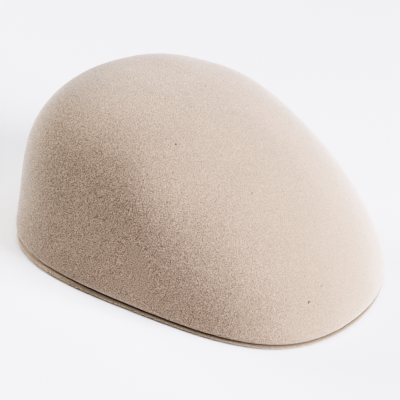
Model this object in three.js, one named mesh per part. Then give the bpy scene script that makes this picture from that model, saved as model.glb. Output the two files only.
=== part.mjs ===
// Wool felt cap: a smooth blocked crown that slopes down into a short peak,
// standing on a flat felt brim that closes it underneath around the head opening.
// Millimetres, +Z up, peak towards -Y, the same on both sides of X = 0, resting on Z = 0.

import * as THREE from 'three';

// The crown's edge, seen from above: an oval with filled-out corners, which runs in and out by
// RIM_WAVE, RIM_WAVES times round the cap
const RIM_LENGTH = 267;
const RIM_WIDTH = 208;
const RIM_SQUARENESS = 0.049;
const RIM_WAVE = 0.7;
const RIM_WAVES = 6;

// The crown's highest point, and how round it is there along and across the cap
const CROWN_HEIGHT = 126;
const APEX_BEHIND_MIDDLE = 49;
const APEX_RADIUS_ALONG = 227;
const APEX_RADIUS_ACROSS = 540;

// Felt thickness, and the clearance between the crown and the brim that it is sewn to
const CROWN_WALL = 2.4;
const BRIM_WALL = 2.9;
const SEAM_GAP = 0.3;

// The crown's edge is turned in under itself and lies on the brim
const HEM_WIDTH = 9;

// The opening for a 57 to 58 cm head, and the brim left behind it at the back
const OPENING_LENGTH = 200;
const OPENING_WIDTH = 166;
const BRIM_WIDTH_AT_BACK = 10;

// How the cap is shaped at five stations from the front round to the back, an eighth of a turn apart
// as the apex sees them:
//   rise:  how high the wall goes before it turns over, as a share of the crown's height
//   lean:  how far it leans inwards by then, as a share of its reach from the apex
//   swell: how far it rounds out above its edge, and stays out until it fades into the top
//   edge:  height of the crown's edge above the table
//   lip:   how far the brim shows past the crown's edge
//   foot:  where the inside of the wall starts, as a share of the way from the edge to the apex
const FRONT = { rise: 0.11, lean: -0.065, swell: 0, edge: 4.8, lip: 0.8, foot: 0.05 };
const FRONT_QUARTER = { rise: 0.215, lean: 0.03, swell: 0, edge: 5, lip: 0.4, foot: 0.04 };
const SIDE = { rise: 0.72, lean: 0.08, swell: 1.2, edge: 5, lip: 2.6, foot: 0.014 };
const BACK_QUARTER = { rise: 0.41, lean: 0.115, swell: 7.6, edge: 3.8, lip: 3.5, foot: 0.03 };
const BACK = { rise: 0.475, lean: -0.14, swell: 3.1, edge: 3.7, lip: 3, foot: 0.03 };
const STATIONS = [FRONT, FRONT_QUARTER, SIDE, BACK_QUARTER, BACK];

// How fast the swell fades towards the apex, and how fast it comes on above the edge, as powers
const SWELL_FADE = 2;
const SWELL_ONSET = 40;

// The turned-in hem, from the crown's edge round to the inside. The first rows are the roof of the
// groove between the crown's edge and the brim.
//   inset:  distance in from the crown's edge
//   groove: height above the hem's underside, as a share of the groove's height
//   wall:   the same, as a share of the felt's thickness
const HEM = [
  { inset: 0.3, groove: 0.8, wall: 0 },
  { inset: 1.6, groove: 0.65, wall: 0 },
  { inset: 2.7, groove: 0.35, wall: 0 },
  { inset: 3.2, groove: 0, wall: 0 },
  { inset: HEM_WIDTH - 0.9, groove: 0, wall: 0 },
  { inset: HEM_WIDTH, groove: 0, wall: 0.5 },
  { inset: HEM_WIDTH - 0.9, groove: 0, wall: 1 },
  { inset: 4.6, groove: 0, wall: 1.1 },
];

// Mesh fineness. Rings of the crown lie closer together towards its edge, by RING_SPREAD.
const COLUMNS = 96;
const OUTER_RINGS = 20;
const INNER_RINGS = 16;
const RING_SPREAD = 1.3;
const LIP_STEPS = 4;

const HEM_UNDERSIDE = BRIM_WALL + SEAM_GAP;
const OPENING_CENTRE = RIM_LENGTH / 2 + RIM_WAVE - BRIM_WIDTH_AT_BACK - OPENING_LENGTH / 2;

const FELT = { color: 0xd3c2b1, roughness: 0.95, metalness: 0 };

// Smooth value round the cap of one column of STATIONS: the sum of cosines of the bearing, and of
// its whole multiples, that passes through the five values. Bearing is 0 at the front, half pi at
// both sides and pi at the back.
function around(column, bearing) {
  const last = STATIONS.length - 1;
  const atEnd = (i) => (i === 0 || i === last ? 0.5 : 1);
  let value = 0;
  for (let wave = 0; wave <= last; wave += 1) {
    const parts = STATIONS.map((row, i) => atEnd(i) * row[column] * Math.cos(Math.PI * i * wave / last));
    const depth = parts.reduce((sum, part) => sum + part, 0) * 2 / last;
    value += atEnd(wave) * depth * Math.cos(wave * bearing);
  }
  return value;
}

// Point of the crown's edge in plan: an ellipse with a third harmonic that fills its corners, and
// with the rim's wave. Angle 0 is the front, and a quarter turn is the +X side.
function rimPoint(angle) {
  const wide = Math.sin(angle) + RIM_SQUARENESS * Math.sin(3 * angle);
  const long = Math.cos(angle) - RIM_SQUARENESS * Math.cos(3 * angle);
  const fit = 1 - RIM_SQUARENESS;
  const point = new THREE.Vector2(RIM_WIDTH / 2 * wide / fit, -RIM_LENGTH / 2 * long / fit);
  return point.setLength(point.length() + RIM_WAVE * Math.cos(RIM_WAVES * angle));
}

// The rim moved inwards in plan by a distance; a negative distance moves it outwards
function insetRim(angle, distance) {
  const step = 1e-3;
  const along = rimPoint(angle + step).sub(rimPoint(angle - step)).normalize();
  return rimPoint(angle).add(new THREE.Vector2(-along.y, along.x).multiplyScalar(distance));
}

// From the apex to the crown's edge in plan
function reachOf(angle) {
  return rimPoint(angle).sub(new THREE.Vector2(0, APEX_BEHIND_MIDDLE));
}

// The bearing of that edge from the apex, as around() takes it
function bearingOf(angle) {
  const reach = reachOf(angle);
  return Math.atan2(Math.abs(reach.x), -reach.y);
}

// Point of the crown's outer face. Each meridian is a cubic curve from the edge (t = 0) to the
// apex (t = 1). Its last handle is worked out so that all meridians share the apex's roundness. The
// swell is added to it as a low power of 1 - t less a high one.
function crownPoint(angle, t) {
  const reach = reachOf(angle);
  const bearing = bearingOf(angle);
  const edge = around('edge', bearing);
  const rise = around('rise', bearing);
  const lean = around('lean', bearing);
  const height = CROWN_HEIGHT - edge;
  const ahead = Math.cos(bearing);
  const bend = ahead ** 2 / APEX_RADIUS_ALONG + (1 - ahead ** 2) / APEX_RADIUS_ACROSS;
  const shoulder = Math.sqrt(2 / 3 * (1 - rise) * height / bend) / reach.length();

  const start = (1 - t) ** 3;
  const low = 3 * t * (1 - t) ** 2;
  const high = 3 * t ** 2 * (1 - t);
  const end = t ** 3;
  const swell = around('swell', bearing) * ((1 - t) ** SWELL_FADE - (1 - t) ** SWELL_ONSET);
  const out = start + low * (1 - lean) + high * shoulder + swell / reach.length();
  return new THREE.Vector3(
    reach.x * out,
    reach.y * out + APEX_BEHIND_MIDDLE,
    edge + height * (low * rise + high + end),
  );
}

// Point of the crown's inner face: the outer one moved in by the felt's thickness
function crownInnerPoint(angle, t) {
  const step = 1e-3;
  const across = crownPoint(angle + step, t).sub(crownPoint(angle - step, t));
  const up = crownPoint(angle, t + step).sub(crownPoint(angle, t - step));
  const outwards = across.cross(up).normalize();
  return crownPoint(angle, t).sub(outwards.multiplyScalar(CROWN_WALL));
}

// One closed ring of points, one for each column, counter-clockwise seen from above
function ring(pointAt) {
  return Array.from({ length: COLUMNS }, (_, i) => pointAt(i / COLUMNS * 2 * Math.PI));
}

// Closed mesh through rings of points. A ring of one point is a pole; where the first and last
// rings aren't poles the last joins the first.
function meshThroughRings(rings) {
  const positions = [];
  const starts = rings.map((points) => {
    const start = positions.length / 3;
    points.forEach((point) => positions.push(point.x, point.y, point.z));
    return start;
  });
  const corner = (row, column) => starts[row] + (rings[row].length === 1 ? 0 : column % COLUMNS);

  const triangles = [];
  const isTube = rings[0].length > 1;
  const bands = isTube ? rings.length : rings.length - 1;
  for (let row = 0; row < bands; row += 1) {
    const next = (row + 1) % rings.length;
    for (let column = 0; column < COLUMNS; column += 1) {
      const [a, b] = [corner(row, column), corner(row, column + 1)];
      const [c, d] = [corner(next, column), corner(next, column + 1)];
      if (c !== d) triangles.push(a, c, d);
      if (a !== b) triangles.push(a, d, b);
    }
  }
  const geometry = new THREE.BufferGeometry();
  geometry.setAttribute('position', new THREE.Float32BufferAttribute(positions, 3));
  geometry.setIndex(triangles);
  geometry.computeVertexNormals();
  return geometry;
}

// Point of one row of the hem
function hemPoint(angle, { inset, groove, wall }) {
  const plan = insetRim(angle, inset);
  const grooveDepth = around('edge', bearingOf(angle)) - HEM_UNDERSIDE;
  return new THREE.Vector3(plan.x, plan.y, HEM_UNDERSIDE + groove * grooveDepth + wall * CROWN_WALL);
}

// Blocked crown: a hollow felt shell with its edge turned in
function crown() {
  const rings = [[crownPoint(0, 1)]];
  for (let i = OUTER_RINGS - 1; i >= 0; i -= 1) {
    const t = (i / OUTER_RINGS) ** RING_SPREAD;
    rings.push(ring((angle) => crownPoint(angle, t)));
  }
  HEM.forEach((row) => rings.push(ring((angle) => hemPoint(angle, row))));
  for (let i = 0; i < INNER_RINGS; i += 1) {
    const up = (i / INNER_RINGS) ** RING_SPREAD;
    rings.push(ring((angle) => {
      const foot = around('foot', bearingOf(angle));
      return crownInnerPoint(angle, foot + (1 - foot) * up);
    }));
  }
  rings.push([crownPoint(0, 1).sub(new THREE.Vector3(0, 0, CROWN_WALL))]);
  return meshThroughRings(rings);
}

// Brim: a flat felt ring with rounded edges, wide under the peak and narrow at the back
function brim() {
  const radius = BRIM_WALL / 2;
  const outer = (angle, turn) => {
    const lip = around('lip', bearingOf(angle));
    const plan = insetRim(angle, radius * (1 - Math.cos(turn)) - lip);
    return new THREE.Vector3(plan.x, plan.y, radius * (1 + Math.sin(turn)));
  };
  const inner = (angle, turn) => {
    const grow = radius * (1 - Math.cos(turn));
    return new THREE.Vector3(
      (OPENING_WIDTH / 2 + grow) * Math.sin(angle),
      OPENING_CENTRE - (OPENING_LENGTH / 2 + grow) * Math.cos(angle),
      radius * (1 + Math.sin(turn)),
    );
  };
  const turns = Array.from({ length: LIP_STEPS + 1 }, (_, i) => (i / LIP_STEPS - 0.5) * Math.PI);
  const rings = turns.toReversed().map((turn) => ring((angle) => outer(angle, turn)));
  turns.forEach((turn) => rings.push(ring((angle) => inner(angle, turn))));
  return meshThroughRings(rings);
}

function feltPiece(name, geometry) {
  const piece = new THREE.Mesh(geometry, new THREE.MeshStandardMaterial(FELT));
  piece.name = name;
  return piece;
}

const cap = new THREE.Group();
cap.add(feltPiece('crown', crown()), feltPiece('brim', brim()));

// The back of the crown swells past its edge, so the whole is moved to have its middle at Y = 0
const box = new THREE.Box3().setFromObject(cap, true);
cap.position.y = -(box.min.y + box.max.y) / 2;

export default cap;
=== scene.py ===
import math

import bpy
import numpy as np
from mathutils import Matrix, Vector


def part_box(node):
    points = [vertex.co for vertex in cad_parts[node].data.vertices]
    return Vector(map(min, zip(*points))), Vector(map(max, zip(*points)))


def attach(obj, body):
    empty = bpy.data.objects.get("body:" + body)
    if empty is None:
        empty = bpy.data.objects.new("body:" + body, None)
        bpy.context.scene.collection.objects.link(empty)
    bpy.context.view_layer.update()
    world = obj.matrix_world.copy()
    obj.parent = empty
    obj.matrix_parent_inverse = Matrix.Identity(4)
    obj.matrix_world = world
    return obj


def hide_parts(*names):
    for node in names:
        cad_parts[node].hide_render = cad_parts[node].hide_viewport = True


# A smooth wool felt cap, in metres: its blocked crown, the felt brim under it and the loose ends of
# wool on it, then the floor, the lights and the camera.

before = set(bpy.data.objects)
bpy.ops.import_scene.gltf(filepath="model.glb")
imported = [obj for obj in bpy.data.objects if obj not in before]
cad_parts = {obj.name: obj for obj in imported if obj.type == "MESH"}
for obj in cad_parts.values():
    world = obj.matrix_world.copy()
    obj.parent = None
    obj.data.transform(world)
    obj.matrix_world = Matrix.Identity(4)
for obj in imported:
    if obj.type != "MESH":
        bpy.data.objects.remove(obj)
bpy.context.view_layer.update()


# Crown. One hood of carded wool felt, steamed and pulled over a wooden block until it is smooth all
# over: nearly straight at the back, round on top, and sloping down into a short peak. Its lower edge
# is turned in under itself and sewn to the brim.

MM = 0.001
TURN = 2 * math.pi

RIM_LENGTH = 267 * MM
RIM_WIDTH = 208 * MM
RIM_SQUARENESS = 0.049
RIM_WAVE = 0.7 * MM
RIM_WAVES = 6
CROWN_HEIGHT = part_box("crown")[1].z
APEX_BEHIND_MIDDLE = 49 * MM
APEX_RADIUS_ALONG = 227 * MM
APEX_RADIUS_ACROSS = 540 * MM
CROWN_WALL = 2.4 * MM
HEM_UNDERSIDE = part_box("crown")[0].z

# The oval of the rim lies a little ahead of the middle of the whole cap, whose front is at the brim's lip
FRONT_LIP = 0.8 * MM
RIM_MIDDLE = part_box("brim")[0].y + FRONT_LIP + RIM_WAVE + RIM_LENGTH / 2
APEX_PLACE = RIM_MIDDLE + APEX_BEHIND_MIDDLE

# From the front round to the back, an eighth of a turn apart as the apex sees them: how high the wall
# goes before it turns over, as a share of the height; how far it leans in by then, as a share of its
# reach from the apex; how far it bulges out above its edge; the height of that edge; and where its
# inner face starts, as a share of the way from the edge to the apex
RISE = (0.11, 0.215, 0.72, 0.41, 0.475)
LEAN = (-0.065, 0.03, 0.08, 0.115, -0.14)
BULGE = (0.0, 0.0, 1.2 * MM, 7.6 * MM, 3.1 * MM)
EDGE = (4.8 * MM, 4.85 * MM, 4.3 * MM, 3.3 * MM, 3.6 * MM)
INNER_FOOT = (0.05, 0.04, 0.014, 0.03, 0.03)

# How fast that bulge fades towards the apex, and how fast it comes on above the edge, as powers
BULGE_FADE = 2
BULGE_ONSET = 40

# The turned-in hem, from the edge round to the inside: how far in, how high in the groove over the
# brim as a share of its height, and how high in the felt as a share of its thickness
HEM = (
    {"inset": 0.3 * MM, "groove": 0.68, "wall": 0.0},
    {"inset": 0.7 * MM, "groove": 0.36, "wall": 0.0},
    {"inset": 1.1 * MM, "groove": 0.1, "wall": 0.0},
    {"inset": 1.9 * MM, "groove": 0.0, "wall": 0.0},
    {"inset": 5.6 * MM, "groove": 0.0, "wall": 0.0},
    {"inset": 8.1 * MM, "groove": 0.0, "wall": 0.0},
    {"inset": 9.0 * MM, "groove": 0.0, "wall": 0.5},
    {"inset": 8.1 * MM, "groove": 0.0, "wall": 1.0},
    {"inset": 4.6 * MM, "groove": 0.0, "wall": 1.1},
)

# The felt is never quite even: how far each of its random swells reaches, how long its waves are, and
# the seed that they are drawn from; then how many waves a swell has, and between which shares of that
# length theirs lie
LONG_SWELL = {"reach": 0.16 * MM, "wavelength": 42 * MM, "seed": 3}
SHORT_SWELL = {"reach": 0.05 * MM, "wavelength": 9 * MM, "seed": 4}
INNER_SWELL = {"reach": 0.12 * MM, "wavelength": 30 * MM, "seed": 5}
EDGE_SWELL = {"reach": 0.16 * MM, "wavelength": 11 * MM, "seed": 2}
SWELL_WAVES = 14
WAVE_SPREAD = (0.75, 1.4)

# How fast the edge's own swell dies out up the wall, as a power
EDGE_SWELL_FADE = 40

# How far up the wall the painted highlight on the crown's edge reaches, how far down in the groove the
# painted shade is darkest, and how dark that is; then, from the front round to the back, how strong the
# edge's painted highlight is, and how much painted shade darkens the groove and the top of the lip
# beside it, where a negative value paints the lip paler instead, as painted light
HIGHLIGHT_HEIGHT = 1.1 * MM
GROOVE_DEPTH = 1.2 * MM
GROOVE_DARKNESS = 0.6
EDGE_HIGHLIGHT = (0.0, 0.1, 0.9, 1.0, 1.0)
GROOVE_SHADING = (0.6, 1.1, 0.6, -1.4, -0.5)

# The mesh: its columns round the cap and their angles, its rows, the power that draws them together
# towards the edge, and the share of the way up at which the apex's height is read
COLUMNS = 420
COLUMN_ANGLES = np.arange(COLUMNS) / COLUMNS * TURN
OUTER_ROWS = 140
STEPS_BETWEEN_HEM_ROWS = 3
INNER_ROWS = 48
ROW_SPREAD = 1.3
NEAR_APEX = 0.999

# Half the distance between two places whose difference gives a slope
SLOPE_STEP = 1e-4


def around(values, bearing):
    """Value round the cap from those at its five stations: the sum of cosines of the bearing and of its
    whole multiples that passes through them all. Bearing is 0 at the front and half a turn at the back."""
    last = len(values) - 1
    step = np.arange(last + 1)
    share = np.where((step == 0) | (step == last), 0.5, 1.0)
    depth = 2 / last * share * (np.cos(np.pi * np.outer(step, step) / last) @ (share * np.array(values)))
    return np.cos(np.multiply.outer(bearing, step)) @ depth


def rim(angle):
    """The rim in plan, as x and y: an ellipse whose corners a third harmonic fills out, and whose
    distance from its middle runs in and out by the rim's wave. Angle 0 is the front, and a quarter turn
    is the +X side."""
    wide = np.sin(angle) + RIM_SQUARENESS * np.sin(3 * angle)
    long = np.cos(angle) - RIM_SQUARENESS * np.cos(3 * angle)
    fit = 1 - RIM_SQUARENESS
    x = RIM_WIDTH / 2 * wide / fit
    y = -RIM_LENGTH / 2 * long / fit
    grown = 1 + RIM_WAVE * np.cos(RIM_WAVES * angle) / np.hypot(x, y)
    return x * grown, RIM_MIDDLE + y * grown


def inset_rim(angle, distance):
    """The rim moved inwards by a distance, across its own direction; a negative one moves it out."""
    x, y = rim(angle)
    x_before, y_before = rim(angle - SLOPE_STEP)
    x_after, y_after = rim(angle + SLOPE_STEP)
    length = np.hypot(x_after - x_before, y_after - y_before)
    return x - (y_after - y_before) / length * distance, y + (x_after - x_before) / length * distance


def reach_of(angle):
    """From the apex to the rim in plan: x, y, the length and the bearing."""
    x, y = rim(angle)
    y = y - APEX_PLACE
    return x, y, np.hypot(x, y), np.arctan2(np.abs(x), -y)


def blocked_face(angle, t):
    """The block's shape. Each meridian is a cubic Bezier curve from the edge, t = 0, to the apex,
    t = 1. Its second point stands rise and lean away from the first, and its third one lies level
    with the apex, at the distance that gives all meridians the apex's own roundness. The bulge is
    added to it as a low power of 1 - t less a high one."""
    x, y, length, bearing = reach_of(angle)
    edge = around(EDGE, bearing)
    rise = around(RISE, bearing)
    height = CROWN_HEIGHT - edge
    ahead = np.cos(bearing)
    bend = ahead ** 2 / APEX_RADIUS_ALONG + (1 - ahead ** 2) / APEX_RADIUS_ACROSS
    shoulder = np.sqrt(2 / 3 * (1 - rise) * height / bend) / length
    start = (1 - t) ** 3
    low = 3 * t * (1 - t) ** 2
    high = 3 * t ** 2 * (1 - t)
    end = t ** 3
    bulge = around(BULGE, bearing) / length * ((1 - t) ** BULGE_FADE - (1 - t) ** BULGE_ONSET)
    out = start + low * (1 - around(LEAN, bearing)) + high * shoulder + bulge
    up = edge + height * (low * rise + high + end)
    return np.stack([x * out, APEX_PLACE + y * out, up], axis=-1)


def unit(vectors):
    """The vectors at length 1."""
    return vectors / np.linalg.norm(vectors, axis=-1, keepdims=True)


def blocked_normal(angle, t):
    """Outward normal of the block's shape: its slope round the cap crossed with its slope upwards."""
    across = blocked_face(angle + SLOPE_STEP, t) - blocked_face(angle - SLOPE_STEP, t)
    upwards = blocked_face(angle, t + SLOPE_STEP) - blocked_face(angle, t - SLOPE_STEP)
    return unit(np.cross(across, upwards))


def unevenness(points, reach, wavelength, seed):
    """A slow random swell, mostly between minus and plus its reach: the sum of sine waves through space
    over the root of twice their number. Their directions, lengths and phases are drawn from the seed."""
    chance = np.random.default_rng(seed)
    direction = unit(chance.normal(size=(SWELL_WAVES, 3)))
    per_metre = TURN / (wavelength * chance.uniform(*WAVE_SPREAD, SWELL_WAVES))
    phase = chance.uniform(0, TURN, SWELL_WAVES)
    heights = np.sin(points @ (direction * per_metre[:, None]).T + phase)
    return reach * (heights.sum(axis=-1) / math.sqrt(2 * SWELL_WAVES))


def edge_wander(angle):
    """How much higher or lower the hand-turned edge runs than the block's: the edge's own swell, read
    along the rim."""
    x, y = rim(angle)
    return unevenness(np.stack([x, y, 0 * x], axis=-1), **EDGE_SWELL)


def crown_face(angle, t):
    """The felt's outer face: the block's shape moved out by a long and a short swell, and with its edge
    wandering up and down, which dies out within about a centimetre up the wall."""
    face = blocked_face(angle, t)
    swell = unevenness(face, **LONG_SWELL) + unevenness(face, **SHORT_SWELL)
    face = face + blocked_normal(angle, t) * swell[..., None]
    face[..., 2] += edge_wander(angle) * (1 - t) ** EDGE_SWELL_FADE
    return face


def smooth_through(rows, steps):
    """Rows on a Catmull-Rom curve through the given rows, steps of them from each row to the next."""
    ends = np.concatenate([2 * rows[:1] - rows[1:2], rows, 2 * rows[-1:] - rows[-2:-1]])
    before, here, after, beyond = (ends[i:len(ends) - 3 + i] for i in range(4))
    u = (np.arange(steps) / steps).reshape(-1, *[1] * rows.ndim)
    curve = 0.5 * (
        2 * here + (after - before) * u
        + (2 * before - 5 * here + 4 * after - beyond) * u ** 2
        + (3 * here - before - 3 * after + beyond) * u ** 3
    )
    return np.concatenate([curve.swapaxes(0, 1).reshape(-1, *rows.shape[1:]), rows[-1:]])


def crown_hem(angle):
    """The turned-in edge: a smooth curve through the hem's rows, worked out in inset and height, then
    set along the inset rim."""
    edge = around(EDGE, reach_of(angle)[3]) + edge_wander(angle)
    inset = np.array([0.0] + [row["inset"] for row in HEM])
    groove = np.array([1.0] + [row["groove"] for row in HEM])
    wall = np.array([0.0] + [row["wall"] for row in HEM])
    height = HEM_UNDERSIDE + groove[:, None] * (edge - HEM_UNDERSIDE) + wall[:, None] * CROWN_WALL
    rows = np.stack([np.broadcast_to(inset[:, None], height.shape), height], axis=-1)
    rows = smooth_through(rows, STEPS_BETWEEN_HEM_ROWS)
    x, y = inset_rim(angle, rows[..., 0])
    return np.stack([x, y, rows[..., 1]], axis=-1)


def crown_inside(angle, t):
    """The inner face: the block's shape moved in by the felt's thickness, with a swell of its own."""
    face = blocked_face(angle, t)
    return face + blocked_normal(angle, t) * (unevenness(face, **INNER_SWELL) - CROWN_WALL)[..., None]


def new_piece(name, points, faces, tone):
    """Smooth-shaded object of the given points and faces, standing at the origin. The mesh keeps each
    point's tone, from 1 where painted light makes the felt paler, as on the crown's edge, to -1 where
    painted shade darkens it."""
    mesh = bpy.data.meshes.new(name)
    mesh.from_pydata(points.tolist(), [], faces)
    mesh.polygons.foreach_set("use_smooth", np.ones(len(mesh.polygons), bool))
    tones = mesh.attributes.new("tone", "FLOAT", "POINT")
    tones.data.foreach_set("value", tone.astype(np.float32).ravel())
    mesh.update()
    piece = bpy.data.objects.new(name, mesh)
    bpy.context.scene.collection.objects.link(piece)
    return piece


def ring_quads(rings, columns, closed):
    """Quads between rings of equal length, as indices. A closed tube joins its last ring to its first."""
    row = np.arange(rings if closed else rings - 1)[:, None]
    below = (row + 1) % rings
    column = np.arange(columns)
    beside = (column + 1) % columns
    corners = (
        row * columns + column,
        below * columns + column,
        below * columns + beside,
        row * columns + beside,
    )
    return np.stack(corners, axis=-1).reshape(-1, 4)


def crown_mesh():
    """Rings from the outer apex down to the edge, round the hem and up the inside, with a fan of
    triangles at each of the two poles. Above the edge a painted highlight fades as an exponential of the
    height, and below it a painted shade grows with the depth in the groove."""
    angle = COLUMN_ANGLES
    bearing = reach_of(angle)[3]
    outer_t = (np.arange(OUTER_ROWS - 1, 0, -1) / OUTER_ROWS)[:, None] ** ROW_SPREAD
    foot = around(INNER_FOOT, bearing)
    inner_t = foot + (1 - foot) * (np.arange(INNER_ROWS) / INNER_ROWS)[:, None] ** ROW_SPREAD
    rings = np.concatenate([crown_face(angle, outer_t), crown_hem(angle), crown_inside(angle, inner_t)])
    apex = crown_face(angle[:1], np.array([NEAR_APEX]))[0]
    apex[:2] = 0, APEX_PLACE
    inner_apex = rings[-1].mean(axis=0)
    points = np.concatenate([rings.reshape(-1, 3), [apex, inner_apex]])

    # The tone: a painted highlight along the crown's lower edge, and painted shade in the groove below it
    above = rings[..., 2] - around(EDGE, bearing)
    painted_highlight = np.exp(-above.clip(0) / HIGHLIGHT_HEIGHT) * around(EDGE_HIGHLIGHT, bearing)
    painted_shading = (-above / GROOVE_DEPTH).clip(0, 1) * around(GROOVE_SHADING, bearing).clip(0, 1)
    tone = np.concatenate([(painted_highlight * (1 - painted_shading) - GROOVE_DARKNESS * painted_shading).ravel(), [0, 0]])

    column = np.arange(COLUMNS)
    beside = (column + 1) % COLUMNS
    last = (len(rings) - 1) * COLUMNS
    outer_fan = np.stack([np.full(COLUMNS, len(points) - 2), column, beside], axis=-1)
    inner_fan = np.stack([last + beside, last + column, np.full(COLUMNS, len(points) - 1)], axis=-1)
    quads = ring_quads(len(rings), COLUMNS, closed=False)
    return new_piece("felt_crown", points, quads.tolist() + outer_fan.tolist() + inner_fan.tolist(), tone)


# The relief of the matted wool: how many grains it has per metre, how many tangles of fibre there are
# to a grain, how wide a tangle's ridges are as a share of its noise, and how high beside a grain; then
# how high a grain of the crown stands
GRAINS_PER_METRE = 1400.0
TANGLES_PER_GRAIN = 0.4
RIDGE_WIDTH = 0.12
RIDGE_HEIGHT = 0.2
CROWN_GRAIN_HEIGHT = 0.7 * MM

# Its shade: that of an even surface; how many clouds it has per metre, and from which to which height
# of their noise they clear; how many cells per metre, how wide a fleck is as a share of its cell, and
# the share of the cells that have none
EVEN_SHADE = 0.45
CLOUDS_PER_METRE = 26.0
CLOUD_CLEARING = (0.3, 0.7)
CELLS_PER_METRE = 220.0
FLECK_RADIUS = 0.13
CELLS_WITHOUT_FLECK = 0.93

# How strong the painted sheen of the fuzz is where the felt is seen along its surface, and how fast it
# fades away from there, as a power
FUZZ_SHEEN_STRENGTH = 0.6
FUZZ_SHEEN_POWER = 4.0

# The grain's relief and the painted shade in its pits are strong where the front and top lights graze
# the felt, and weak where the cap faces forwards and up towards them: that direction, and how strong
# the grain is square to it and straight along it
TOWARDS_THE_LIGHTS = (0.0, -0.85, 0.53)
GRAIN_BY_FACING = {"square": 1.15, "along": 0.28}

# The wool's own colour, and the darker one that its clouds, its flecks and the painted shade in its pits
# turn it towards; then the colours of painted shade, of painted light, and of the fuzz's painted sheen
WOOL = {
    "Wool": (0.79, 0.637, 0.515),
    "Shaded Wool": (0.25, 0.205, 0.155),
    "Painted Shade": (0.26, 0.215, 0.16),
    "Painted Light": (0.82, 0.71, 0.62),
    "Fuzz Sheen": (0.95, 0.94, 0.93),
}


def shader_node(tree, kind, inputs, **settings):
    """New node in the tree, with its settings, and with each named input linked or set."""
    node = tree.nodes.new(kind)
    for setting, value in settings.items():
        setattr(node, setting, value)
    for socket, value in inputs.items():
        if isinstance(value, bpy.types.NodeSocket):
            tree.links.new(value, node.inputs[socket])
        else:
            node.inputs[socket].default_value = value
    return node


def felt_group():
    """The felt's surface. Matted fibres give the relief a fine grain with bent ridges, whose pits get a
    painted shade; slow clouds vary the shade, and a few cells hold a darker fleck of wool. The grain and
    the painted shade in its pits are strong where the lights graze the felt and weak where it faces them.
    The tone of the place turns the wool towards painted shade or painted light, and a painted sheen of
    its fuzz makes it paler seen along the surface."""
    group = bpy.data.node_groups.new("Matted wool", "ShaderNodeTree")
    sockets = group.interface
    sockets.new_socket("Place", in_out="INPUT", socket_type="NodeSocketVector")
    for name in ("Grain per Metre", "Grain Shade", "Cloud Shade", "Fleck Shade", "Grain Strength", "Tone", "Along"):
        sockets.new_socket(name, in_out="INPUT", socket_type="NodeSocketFloat")
    for name in WOOL:
        sockets.new_socket(name, in_out="INPUT", socket_type="NodeSocketColor")
    sockets.new_socket("Color", in_out="OUTPUT", socket_type="NodeSocketColor")
    sockets.new_socket("Height", in_out="OUTPUT", socket_type="NodeSocketFloat")
    given = group.nodes.new("NodeGroupInput").outputs

    def noise(scale, detail, roughness, distortion=0.0):
        inputs = {
            "Vector": given["Place"],
            "Scale": scale,
            "Detail": detail,
            "Roughness": roughness,
            "Distortion": distortion,
        }
        return shader_node(group, "ShaderNodeTexNoise", inputs).outputs["Fac"]

    def calculate(operation, first, second=0.0):
        node = shader_node(group, "ShaderNodeMath", {0: first, 1: second}, operation=operation)
        return node.outputs["Value"]

    def stretch(value, low, high, to_low, to_high):
        inputs = {"Value": value, "From Min": low, "From Max": high, "To Min": to_low, "To Max": to_high}
        return shader_node(group, "ShaderNodeMapRange", inputs).outputs["Result"]

    def blend(share, first, second):
        inputs = {"Factor": share, "A": first, "B": second}
        return shader_node(group, "ShaderNodeMix", inputs, data_type="RGBA").outputs["Result"]

    middle = 0.5
    grain = noise(given["Grain per Metre"], detail=1.0, roughness=0.7)
    tangles_per_metre = calculate("MULTIPLY", given["Grain per Metre"], TANGLES_PER_GRAIN)
    tangle = noise(tangles_per_metre, detail=2.0, roughness=0.6, distortion=1.5)
    from_middle = calculate("ABSOLUTE", calculate("SUBTRACT", tangle, middle))
    ridges = stretch(from_middle, 0.0, RIDGE_WIDTH, 1.0, 0.0)
    relief = calculate("ADD", grain, calculate("MULTIPLY", ridges, RIDGE_HEIGHT))
    height = calculate("MULTIPLY", relief, given["Grain Strength"])

    # Painted shade in the grain's pits, as strong as the grain
    depth = calculate("MULTIPLY", calculate("SUBTRACT", middle, grain), given["Grain Strength"])
    pits = calculate("ADD", calculate("MULTIPLY", depth, given["Grain Shade"]), EVEN_SHADE)
    cloudiness = stretch(noise(CLOUDS_PER_METRE, detail=2.0, roughness=0.5), *CLOUD_CLEARING, 1.0, 0.0)
    clouds = calculate("MULTIPLY", cloudiness, given["Cloud Shade"])
    cell = {"Vector": given["Place"], "Scale": CELLS_PER_METRE}
    cells = shader_node(group, "ShaderNodeTexVoronoi", cell)
    in_spot = calculate("LESS_THAN", cells.outputs["Distance"], FLECK_RADIUS)
    cell_colour = shader_node(group, "ShaderNodeSeparateColor", {"Color": cells.outputs["Color"]})
    chosen = calculate("GREATER_THAN", cell_colour.outputs["Red"], CELLS_WITHOUT_FLECK)
    flecks = calculate("MULTIPLY", calculate("MULTIPLY", in_spot, chosen), given["Fleck Shade"])
    shade = calculate("ADD", calculate("ADD", pits, clouds), flecks)

    wool = blend(shade, given["Wool"], given["Shaded Wool"])
    # Painted shade where the tone is below 0, and painted light where it is above
    wool = blend(stretch(given["Tone"], 0.0, -1.0, 0.0, 1.0), wool, given["Painted Shade"])
    wool = blend(stretch(given["Tone"], 0.0, 1.0, 0.0, 1.0), wool, given["Painted Light"])
    # A painted sheen: the pale fuzz colour where the felt is seen along its surface
    fuzz_sheen = calculate("MULTIPLY", calculate("POWER", given["Along"], FUZZ_SHEEN_POWER), FUZZ_SHEEN_STRENGTH)
    out = group.nodes.new("NodeGroupOutput").inputs
    group.links.new(blend(fuzz_sheen, wool, given["Fuzz Sheen"]), out["Color"])
    group.links.new(height, out["Height"])
    return group


matted_wool = felt_group()


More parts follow.
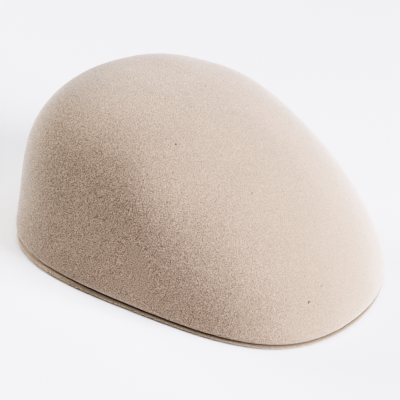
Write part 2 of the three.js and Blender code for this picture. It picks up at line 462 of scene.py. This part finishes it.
def felt_material(name, wool, grain_height):
    """Dense matt felt: the matted wool's colour, with its painted shade, light and sheen, and its relief,
    with a faint sheen from its fuzz.
    """
    material = bpy.data.materials.new(name)
    material.use_nodes = True
    tree = material.node_tree
    place = shader_node(tree, "ShaderNodeTexCoord", {})
    facing = shader_node(tree, "ShaderNodeVectorMath", {
        0: place.outputs["Normal"], 1: TOWARDS_THE_LIGHTS}, operation="DOT_PRODUCT")
    # How strong the grain and the painted shade in its pits are: weak where the felt faces the lights
    nap = shader_node(tree, "ShaderNodeMapRange", {
        "Value": facing.outputs["Value"], "To Min": GRAIN_BY_FACING["square"], "To Max": GRAIN_BY_FACING["along"]})
    tone = shader_node(tree, "ShaderNodeAttribute", {}, attribute_name="tone")
    along = shader_node(tree, "ShaderNodeLayerWeight", {"Blend": 0.5})
    colours = {finish: (*colour, 1) for finish, colour in wool.items()}
    surface = shader_node(tree, "ShaderNodeGroup", {
        "Place": place.outputs["Object"],
        "Grain Strength": nap.outputs["Result"],
        "Tone": tone.outputs["Fac"],
        "Along": along.outputs["Facing"],
        "Grain per Metre": GRAINS_PER_METRE,
        "Grain Shade": 2.7,
        "Cloud Shade": 0.05,
        "Fleck Shade": 0.5,
        **colours,
    }, node_tree=matted_wool)
    relief = shader_node(tree, "ShaderNodeBump", {
        "Strength": 1.0, "Distance": grain_height, "Height": surface.outputs["Height"]})
    felt = tree.nodes["Principled BSDF"]
    tree.links.new(surface.outputs["Color"], felt.inputs["Base Color"])
    tree.links.new(relief.outputs["Normal"], felt.inputs["Normal"])
    felt.inputs["Roughness"].default_value = 0.95
    felt.inputs["Diffuse Roughness"].default_value = 0.8
    felt.inputs["Specular IOR Level"].default_value = 0.1
    felt.inputs["Sheen Weight"].default_value = 0.06
    felt.inputs["Sheen Roughness"].default_value = 0.5
    return material


crown = crown_mesh()
crown.data.materials.append(felt_material("Blocked felt", WOOL, CROWN_GRAIN_HEIGHT))
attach(crown, "root")
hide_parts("crown")


# Brim. A second layer of the same felt, cut as a flat ring round the head opening. It shows all round
# as a soft lip under the crown's edge, below a dark groove, and the cap stands on its underside.

BRIM_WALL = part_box("brim")[1].z
BRIM_EDGE_RADIUS = BRIM_WALL / 2
BRIM_GRAIN_HEIGHT = 0.5 * MM
OPENING_LENGTH = 200 * MM
OPENING_WIDTH = 166 * MM
BRIM_WIDTH_AT_BACK = 10 * MM
OPENING_MIDDLE = RIM_MIDDLE + RIM_LENGTH / 2 + RIM_WAVE - BRIM_WIDTH_AT_BACK - OPENING_LENGTH / 2

# How far the lip shows past the crown's edge, from the front round to the back, and the swell by which
# the shears cut it shorter here and there
LIP = (FRONT_LIP, 0.4 * MM, 2.6 * MM, 3.5 * MM, 3.0 * MM)
LIP_SWELL = {"reach": 0.2 * MM, "wavelength": 17 * MM, "seed": 6}

# Above this height, as a share of the felt's thickness, painted shade darkens the lip towards the
# groove, and where the groove's shading is negative, painted light pales it instead
UNSHADED_HEIGHT = 0.5

LIP_ROWS = 16
FLAT_ROWS = 14

# The brim's own wool, and the duller painted sheen of its fuzz
BRIM_WOOL = {**WOOL, "Wool": (0.78, 0.65, 0.52), "Fuzz Sheen": (0.86, 0.83, 0.78)}


def brim_lip(angle, turn):
    """The outer edge, a half circle in section from the top, a quarter turn up, to the bottom, a
    quarter turn down. Where its swell is negative, it lies that much further in."""
    x, y = rim(angle)
    wander = unevenness(np.stack([x, y, 0 * x], axis=-1), **LIP_SWELL)
    lip = around(LIP, reach_of(angle)[3]) + np.minimum(wander, 0)
    x, y = inset_rim(angle, BRIM_EDGE_RADIUS * (1 - np.cos(turn)) - lip)
    height = np.broadcast_to(BRIM_EDGE_RADIUS * (1 + np.sin(turn)), x.shape)
    return np.stack([x, y, height], axis=-1)


def brim_opening(angle, turn):
    """The edge of the head opening: a half circle in section round an oval."""
    grow = BRIM_EDGE_RADIUS * (1 - np.cos(turn))
    x = (OPENING_WIDTH / 2 + grow) * np.sin(angle)
    y = OPENING_MIDDLE - (OPENING_LENGTH / 2 + grow) * np.cos(angle)
    height = np.broadcast_to(BRIM_EDGE_RADIUS * (1 + np.sin(turn)), x.shape)
    return np.stack([x, y, height], axis=-1)


def brim_mesh():
    """Rings round the lip from top to bottom, across the underside, up round the opening's edge and
    back across the top. On the flats they lie evenly between the two edges."""
    angle = COLUMN_ANGLES
    turn = np.linspace(TURN / 4, -TURN / 4, LIP_ROWS)[:, None]
    lip = brim_lip(angle, turn)
    opening = brim_opening(angle, turn[::-1])
    share = (np.arange(1, FLAT_ROWS) / FLAT_ROWS)[:, None, None]
    underside = lip[-1] + (opening[0] - lip[-1]) * share
    top = opening[-1] + (lip[0] - opening[-1]) * share
    rings = np.concatenate([lip, underside, opening, top])
    # Painted shade darkens the top of the lip beside the groove, and painted light pales it where the
    # groove's shading is negative
    height = rings[..., 2] / BRIM_WALL
    lip_shading = around(GROOVE_SHADING, reach_of(angle)[3]).clip(-1, 1)
    painted_shading = ((height - UNSHADED_HEIGHT) / (1 - UNSHADED_HEIGHT)).clip(0, 1) * lip_shading
    faces = ring_quads(len(rings), COLUMNS, closed=True).tolist()
    return new_piece("felt_brim", rings.reshape(-1, 3), faces, -painted_shading)


brim = brim_mesh()
brim.data.materials.append(felt_material("Brim felt", BRIM_WOOL, BRIM_GRAIN_HEIGHT))
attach(brim, "root")
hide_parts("brim")


# Nap. Loose ends of wool stand out of the crown's felt all over, and a few dark ones that were carded
# in with the rest lie curled on its front and high on its right side.

# How many loose ends there are; how far down they stand, as a share of the way from the apex to the
# edge; between which lengths they are, how thick, and how steeply they leave the felt, where 0 is along
# it and 1 is square to it
NAP_ENDS = 6000
NAP_REACH = 0.99
END_LENGTH = (1.0 * MM, 2.4 * MM)
END_RADIUS = 0.045 * MM
END_LIFT = (0.2, 0.75)
LOOSE_WOOL = (0.78, 0.68, 0.6)

# Where the dark ends lie, as the angle round the rim in degrees and the share of the way up to the
# apex, and how many there are and how long
DARK_ENDS = (
    {"angle": -31.3, "up": 0.265, "count": 9, "length": 1.4 * MM},
    {"angle": -23.2, "up": 0.314, "count": 1, "length": 2.6 * MM},
    {"angle": -29.8, "up": 0.362, "count": 1, "length": 1.4 * MM},
    {"angle": -78.8, "up": 0.763, "count": 5, "length": 1.0 * MM},
)
DARK_END_RADIUS = 0.22 * MM
DARK_END_LIFT = (0.05, 0.3)
DARK_WOOL = (0.16, 0.12, 0.08)

# How far to either side an end curls, as a share of its length; how far it sinks back to the felt, as a
# share of its rise; and how much of its thickness it would lose over its length if it had no point
END_CURL = 0.6
END_SAG = 0.3
END_TAPER = 0.5

END_SIDES = 3
END_RINGS = 3

# The faint change of shade along the ends: how many shades per metre, and how dark the darker one is
SHADES_PER_METRE = 400.0
DARKER_SHADE = 0.85


def wool_ends(name, angle, t, length, radius, lift, chance):
    """Closed tubes that taper to a point, one from each place on the crown. Each follows a parabola: it
    leaves the felt in a direction drawn between its normal and its plane, and bends back to the felt."""
    count = len(angle)
    root = crown_face(angle, t)
    normal = blocked_normal(angle, t)
    flat = unit(np.cross(normal, chance.normal(size=(count, 3))))
    beside = np.cross(normal, flat)
    raised = chance.uniform(*lift, count)[:, None]
    leave = length[:, None] * (normal * raised + flat * (1 - raised))
    curl = chance.uniform(-END_CURL, END_CURL, count)[:, None]
    bend = length[:, None] * (beside * curl - normal * raised * END_SAG)

    # No end leaves along this slanting direction, so crossing the two always gives the section's side
    slanting = normal + beside / 2
    side = unit(np.cross(leave, slanting))
    other = unit(np.cross(leave, side))

    u = np.arange(END_RINGS)[:, None, None, None] / END_RINGS
    turn = np.arange(END_SIDES)[:, None] / END_SIDES * TURN
    section = side[:, None] * np.cos(turn) + other[:, None] * np.sin(turn)
    middle = (root + leave * u[..., 0] + bend * u[..., 0] ** 2)[:, :, None]
    rings = middle + section * radius * (1 - END_TAPER * u)
    tips = (root + leave + bend)[:, None]
    points = np.concatenate([rings.transpose(1, 0, 2, 3).reshape(count, -1, 3), tips], axis=1)

    per_end = END_RINGS * END_SIDES + 1
    corner = np.arange(END_SIDES)
    after = (corner + 1) % END_SIDES
    last = (END_RINGS - 1) * END_SIDES
    quads = ring_quads(END_RINGS, END_SIDES, closed=False)
    tip_faces = np.stack([last + corner, last + after, np.full(END_SIDES, per_end - 1)], axis=-1)
    first = np.arange(count)[:, None, None] * per_end
    faces = (first + quads[:, ::-1]).reshape(-1, 4).tolist()
    faces += (first + tip_faces).reshape(-1, END_SIDES).tolist()
    faces += (first + corner[::-1]).reshape(-1, END_SIDES).tolist()
    return new_piece(name, points.reshape(-1, 3), faces, np.zeros(count * per_end))


def wool_end_material(name, colour):
    """Bare wool, dull, with a faint change of shade along and between the ends."""
    material = bpy.data.materials.new(name)
    material.use_nodes = True
    tree = material.node_tree
    place = shader_node(tree, "ShaderNodeTexCoord", {}).outputs["Object"]
    shade = shader_node(tree, "ShaderNodeTexNoise", {
        "Vector": place, "Scale": SHADES_PER_METRE, "Detail": 1.0})
    darker = [DARKER_SHADE * channel for channel in colour]
    mix = shader_node(tree, "ShaderNodeMix", {
        "Factor": shade.outputs["Fac"], "A": (*darker, 1), "B": (*colour, 1)}, data_type="RGBA")
    wool = tree.nodes["Principled BSDF"]
    tree.links.new(mix.outputs["Result"], wool.inputs["Base Color"])
    wool.inputs["Roughness"].default_value = 0.9
    wool.inputs["Specular IOR Level"].default_value = 0.1
    return material


# The root of an even draw spreads the ends evenly from the apex outwards
nap_chance = np.random.default_rng(7)
nap = wool_ends(
    "nap",
    nap_chance.uniform(0, TURN, NAP_ENDS),
    1 - np.sqrt(nap_chance.uniform(0, 1, NAP_ENDS)) * NAP_REACH,
    nap_chance.uniform(*END_LENGTH, NAP_ENDS),
    END_RADIUS,
    END_LIFT,
    nap_chance,
)
nap.data.materials.append(wool_end_material("Loose wool", LOOSE_WOOL))
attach(nap, "root")

dark_counts = [spot["count"] for spot in DARK_ENDS]
dark_ends = wool_ends(
    "dark_ends",
    np.radians(np.repeat([spot["angle"] for spot in DARK_ENDS], dark_counts)),
    np.repeat([spot["up"] for spot in DARK_ENDS], dark_counts),
    np.repeat([spot["length"] for spot in DARK_ENDS], dark_counts),
    DARK_END_RADIUS,
    DARK_END_LIFT,
    nap_chance,
)
dark_ends.data.materials.append(wool_end_material("Dark wool", DARK_WOOL))
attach(dark_ends, "root")


# Studio. A pale floor that runs out of the picture, three soft boxes and a dim room all round.

FLOOR_DROP = 0.3 * MM
FLOOR_SIDE = 12.0
FLOOR_COLOUR = (0.94, 0.95, 0.97)
ROOM_LIGHT = 0.08

bpy.ops.mesh.primitive_plane_add(size=FLOOR_SIDE, location=(0, 0, -FLOOR_DROP))
floor = bpy.context.object
floor.name = "floor"
floor_paint = bpy.data.materials.new("Pale floor")
floor_paint.use_nodes = True
floor_shader = floor_paint.node_tree.nodes["Principled BSDF"]
floor_shader.inputs["Base Color"].default_value = (*FLOOR_COLOUR, 1)
floor_shader.inputs["Roughness"].default_value = 0.9
floor.data.materials.append(floor_paint)

world = bpy.data.worlds.new("Pale room")
bpy.context.scene.world = world
world.use_nodes = True
room = world.node_tree.nodes["Background"]
room.inputs["Color"].default_value = (1, 1, 1, 1)
room.inputs["Strength"].default_value = ROOM_LIGHT

# Where each soft box stands, as a compass angle and a height angle in degrees, its power in watts and
# the tint of its light. They all face the middle of the cap.
SOFT_BOXES = (
    {"name": "front box", "azimuth": 0, "height": 26, "power": 66.0, "tint": (1.0, 0.985, 1.08)},
    {"name": "top box", "azimuth": 0, "height": 88, "power": 20.0, "tint": (1.0, 0.985, 1.06)},
    {"name": "back box", "azimuth": 180, "height": 8, "power": 84.0, "tint": (1.0, 1.0, 1.0)},
)
BOX_WIDTH = 1.5
BOX_DISTANCE = 2.5
CAP_MIDDLE = Vector((0, 0, 50 * MM))


def soft_box(name, azimuth, height, power, tint):
    """Square area light, turned to the middle of the cap."""
    data = bpy.data.lights.new(name, "AREA")
    data.size = BOX_WIDTH
    data.energy = power
    data.color = tint
    light = bpy.data.objects.new(name, data)
    az, el = math.radians(azimuth), math.radians(height)
    away = Vector((math.sin(az) * math.cos(el), -math.cos(az) * math.cos(el), math.sin(el)))
    turned = away.to_track_quat("Z", "Y").to_matrix().to_4x4()
    light.matrix_world = Matrix.Translation(CAP_MIDDLE + away * BOX_DISTANCE) @ turned
    bpy.context.scene.collection.objects.link(light)


for box in SOFT_BOXES:
    soft_box(**box)

# The picture's tone curve, as scene brightness and the brightness shown: a camera's steep shadows and
# flat highlights. It is the fourth of the curves, the one for all three colours together.
TONES = ((0.05, 0.016), (0.1, 0.073), (0.2, 0.26), (0.3, 0.44), (0.5, 0.687), (0.7, 0.82), (1.0, 0.92))
ALL_COLOURS = 3

picture = bpy.context.scene.view_settings
picture.view_transform = "Standard"
picture.use_curve_mapping = True
tone_curve = picture.curve_mapping.curves[ALL_COLOURS]
tone_curve.points[-1].location = TONES[-1]
for scene_brightness, shown in TONES[:-1]:
    tone_curve.points.new(scene_brightness, shown)
picture.curve_mapping.extend = "EXTRAPOLATED"
picture.curve_mapping.update()


# Camera. It looks down on the cap's right side from a little ahead of it, held slightly tilted. Its
# sensor and its lens are in millimetres, as Blender takes them.

AIM = Vector((-6.8 * MM, 0.9 * MM, 45.1 * MM))
CAMERA_AZIMUTH = math.radians(-64.67)
CAMERA_HEIGHT = math.radians(29.17)
CAMERA_ROLL = math.radians(7.41)
CAMERA_DISTANCE = 1.2
SENSOR_WIDTH = 36
LENS = 148

camera_data = bpy.data.cameras.new("camera")
camera_data.sensor_width = SENSOR_WIDTH
camera_data.lens = LENS
camera = bpy.data.objects.new("camera", camera_data)
bpy.context.scene.collection.objects.link(camera)
back = Vector((
    math.sin(CAMERA_AZIMUTH) * math.cos(CAMERA_HEIGHT),
    -math.cos(CAMERA_AZIMUTH) * math.cos(CAMERA_HEIGHT),
    math.sin(CAMERA_HEIGHT),
))
right = Vector((0, 0, 1)).cross(back).normalized()
up = back.cross(right)
level = Matrix((right, up, back)).transposed()
camera.matrix_world = (
    Matrix.Translation(AIM + back * CAMERA_DISTANCE)
    @ level.to_4x4()
    @ Matrix.Rotation(CAMERA_ROLL, 4, "Z")
)
bpy.context.scene.camera = camera
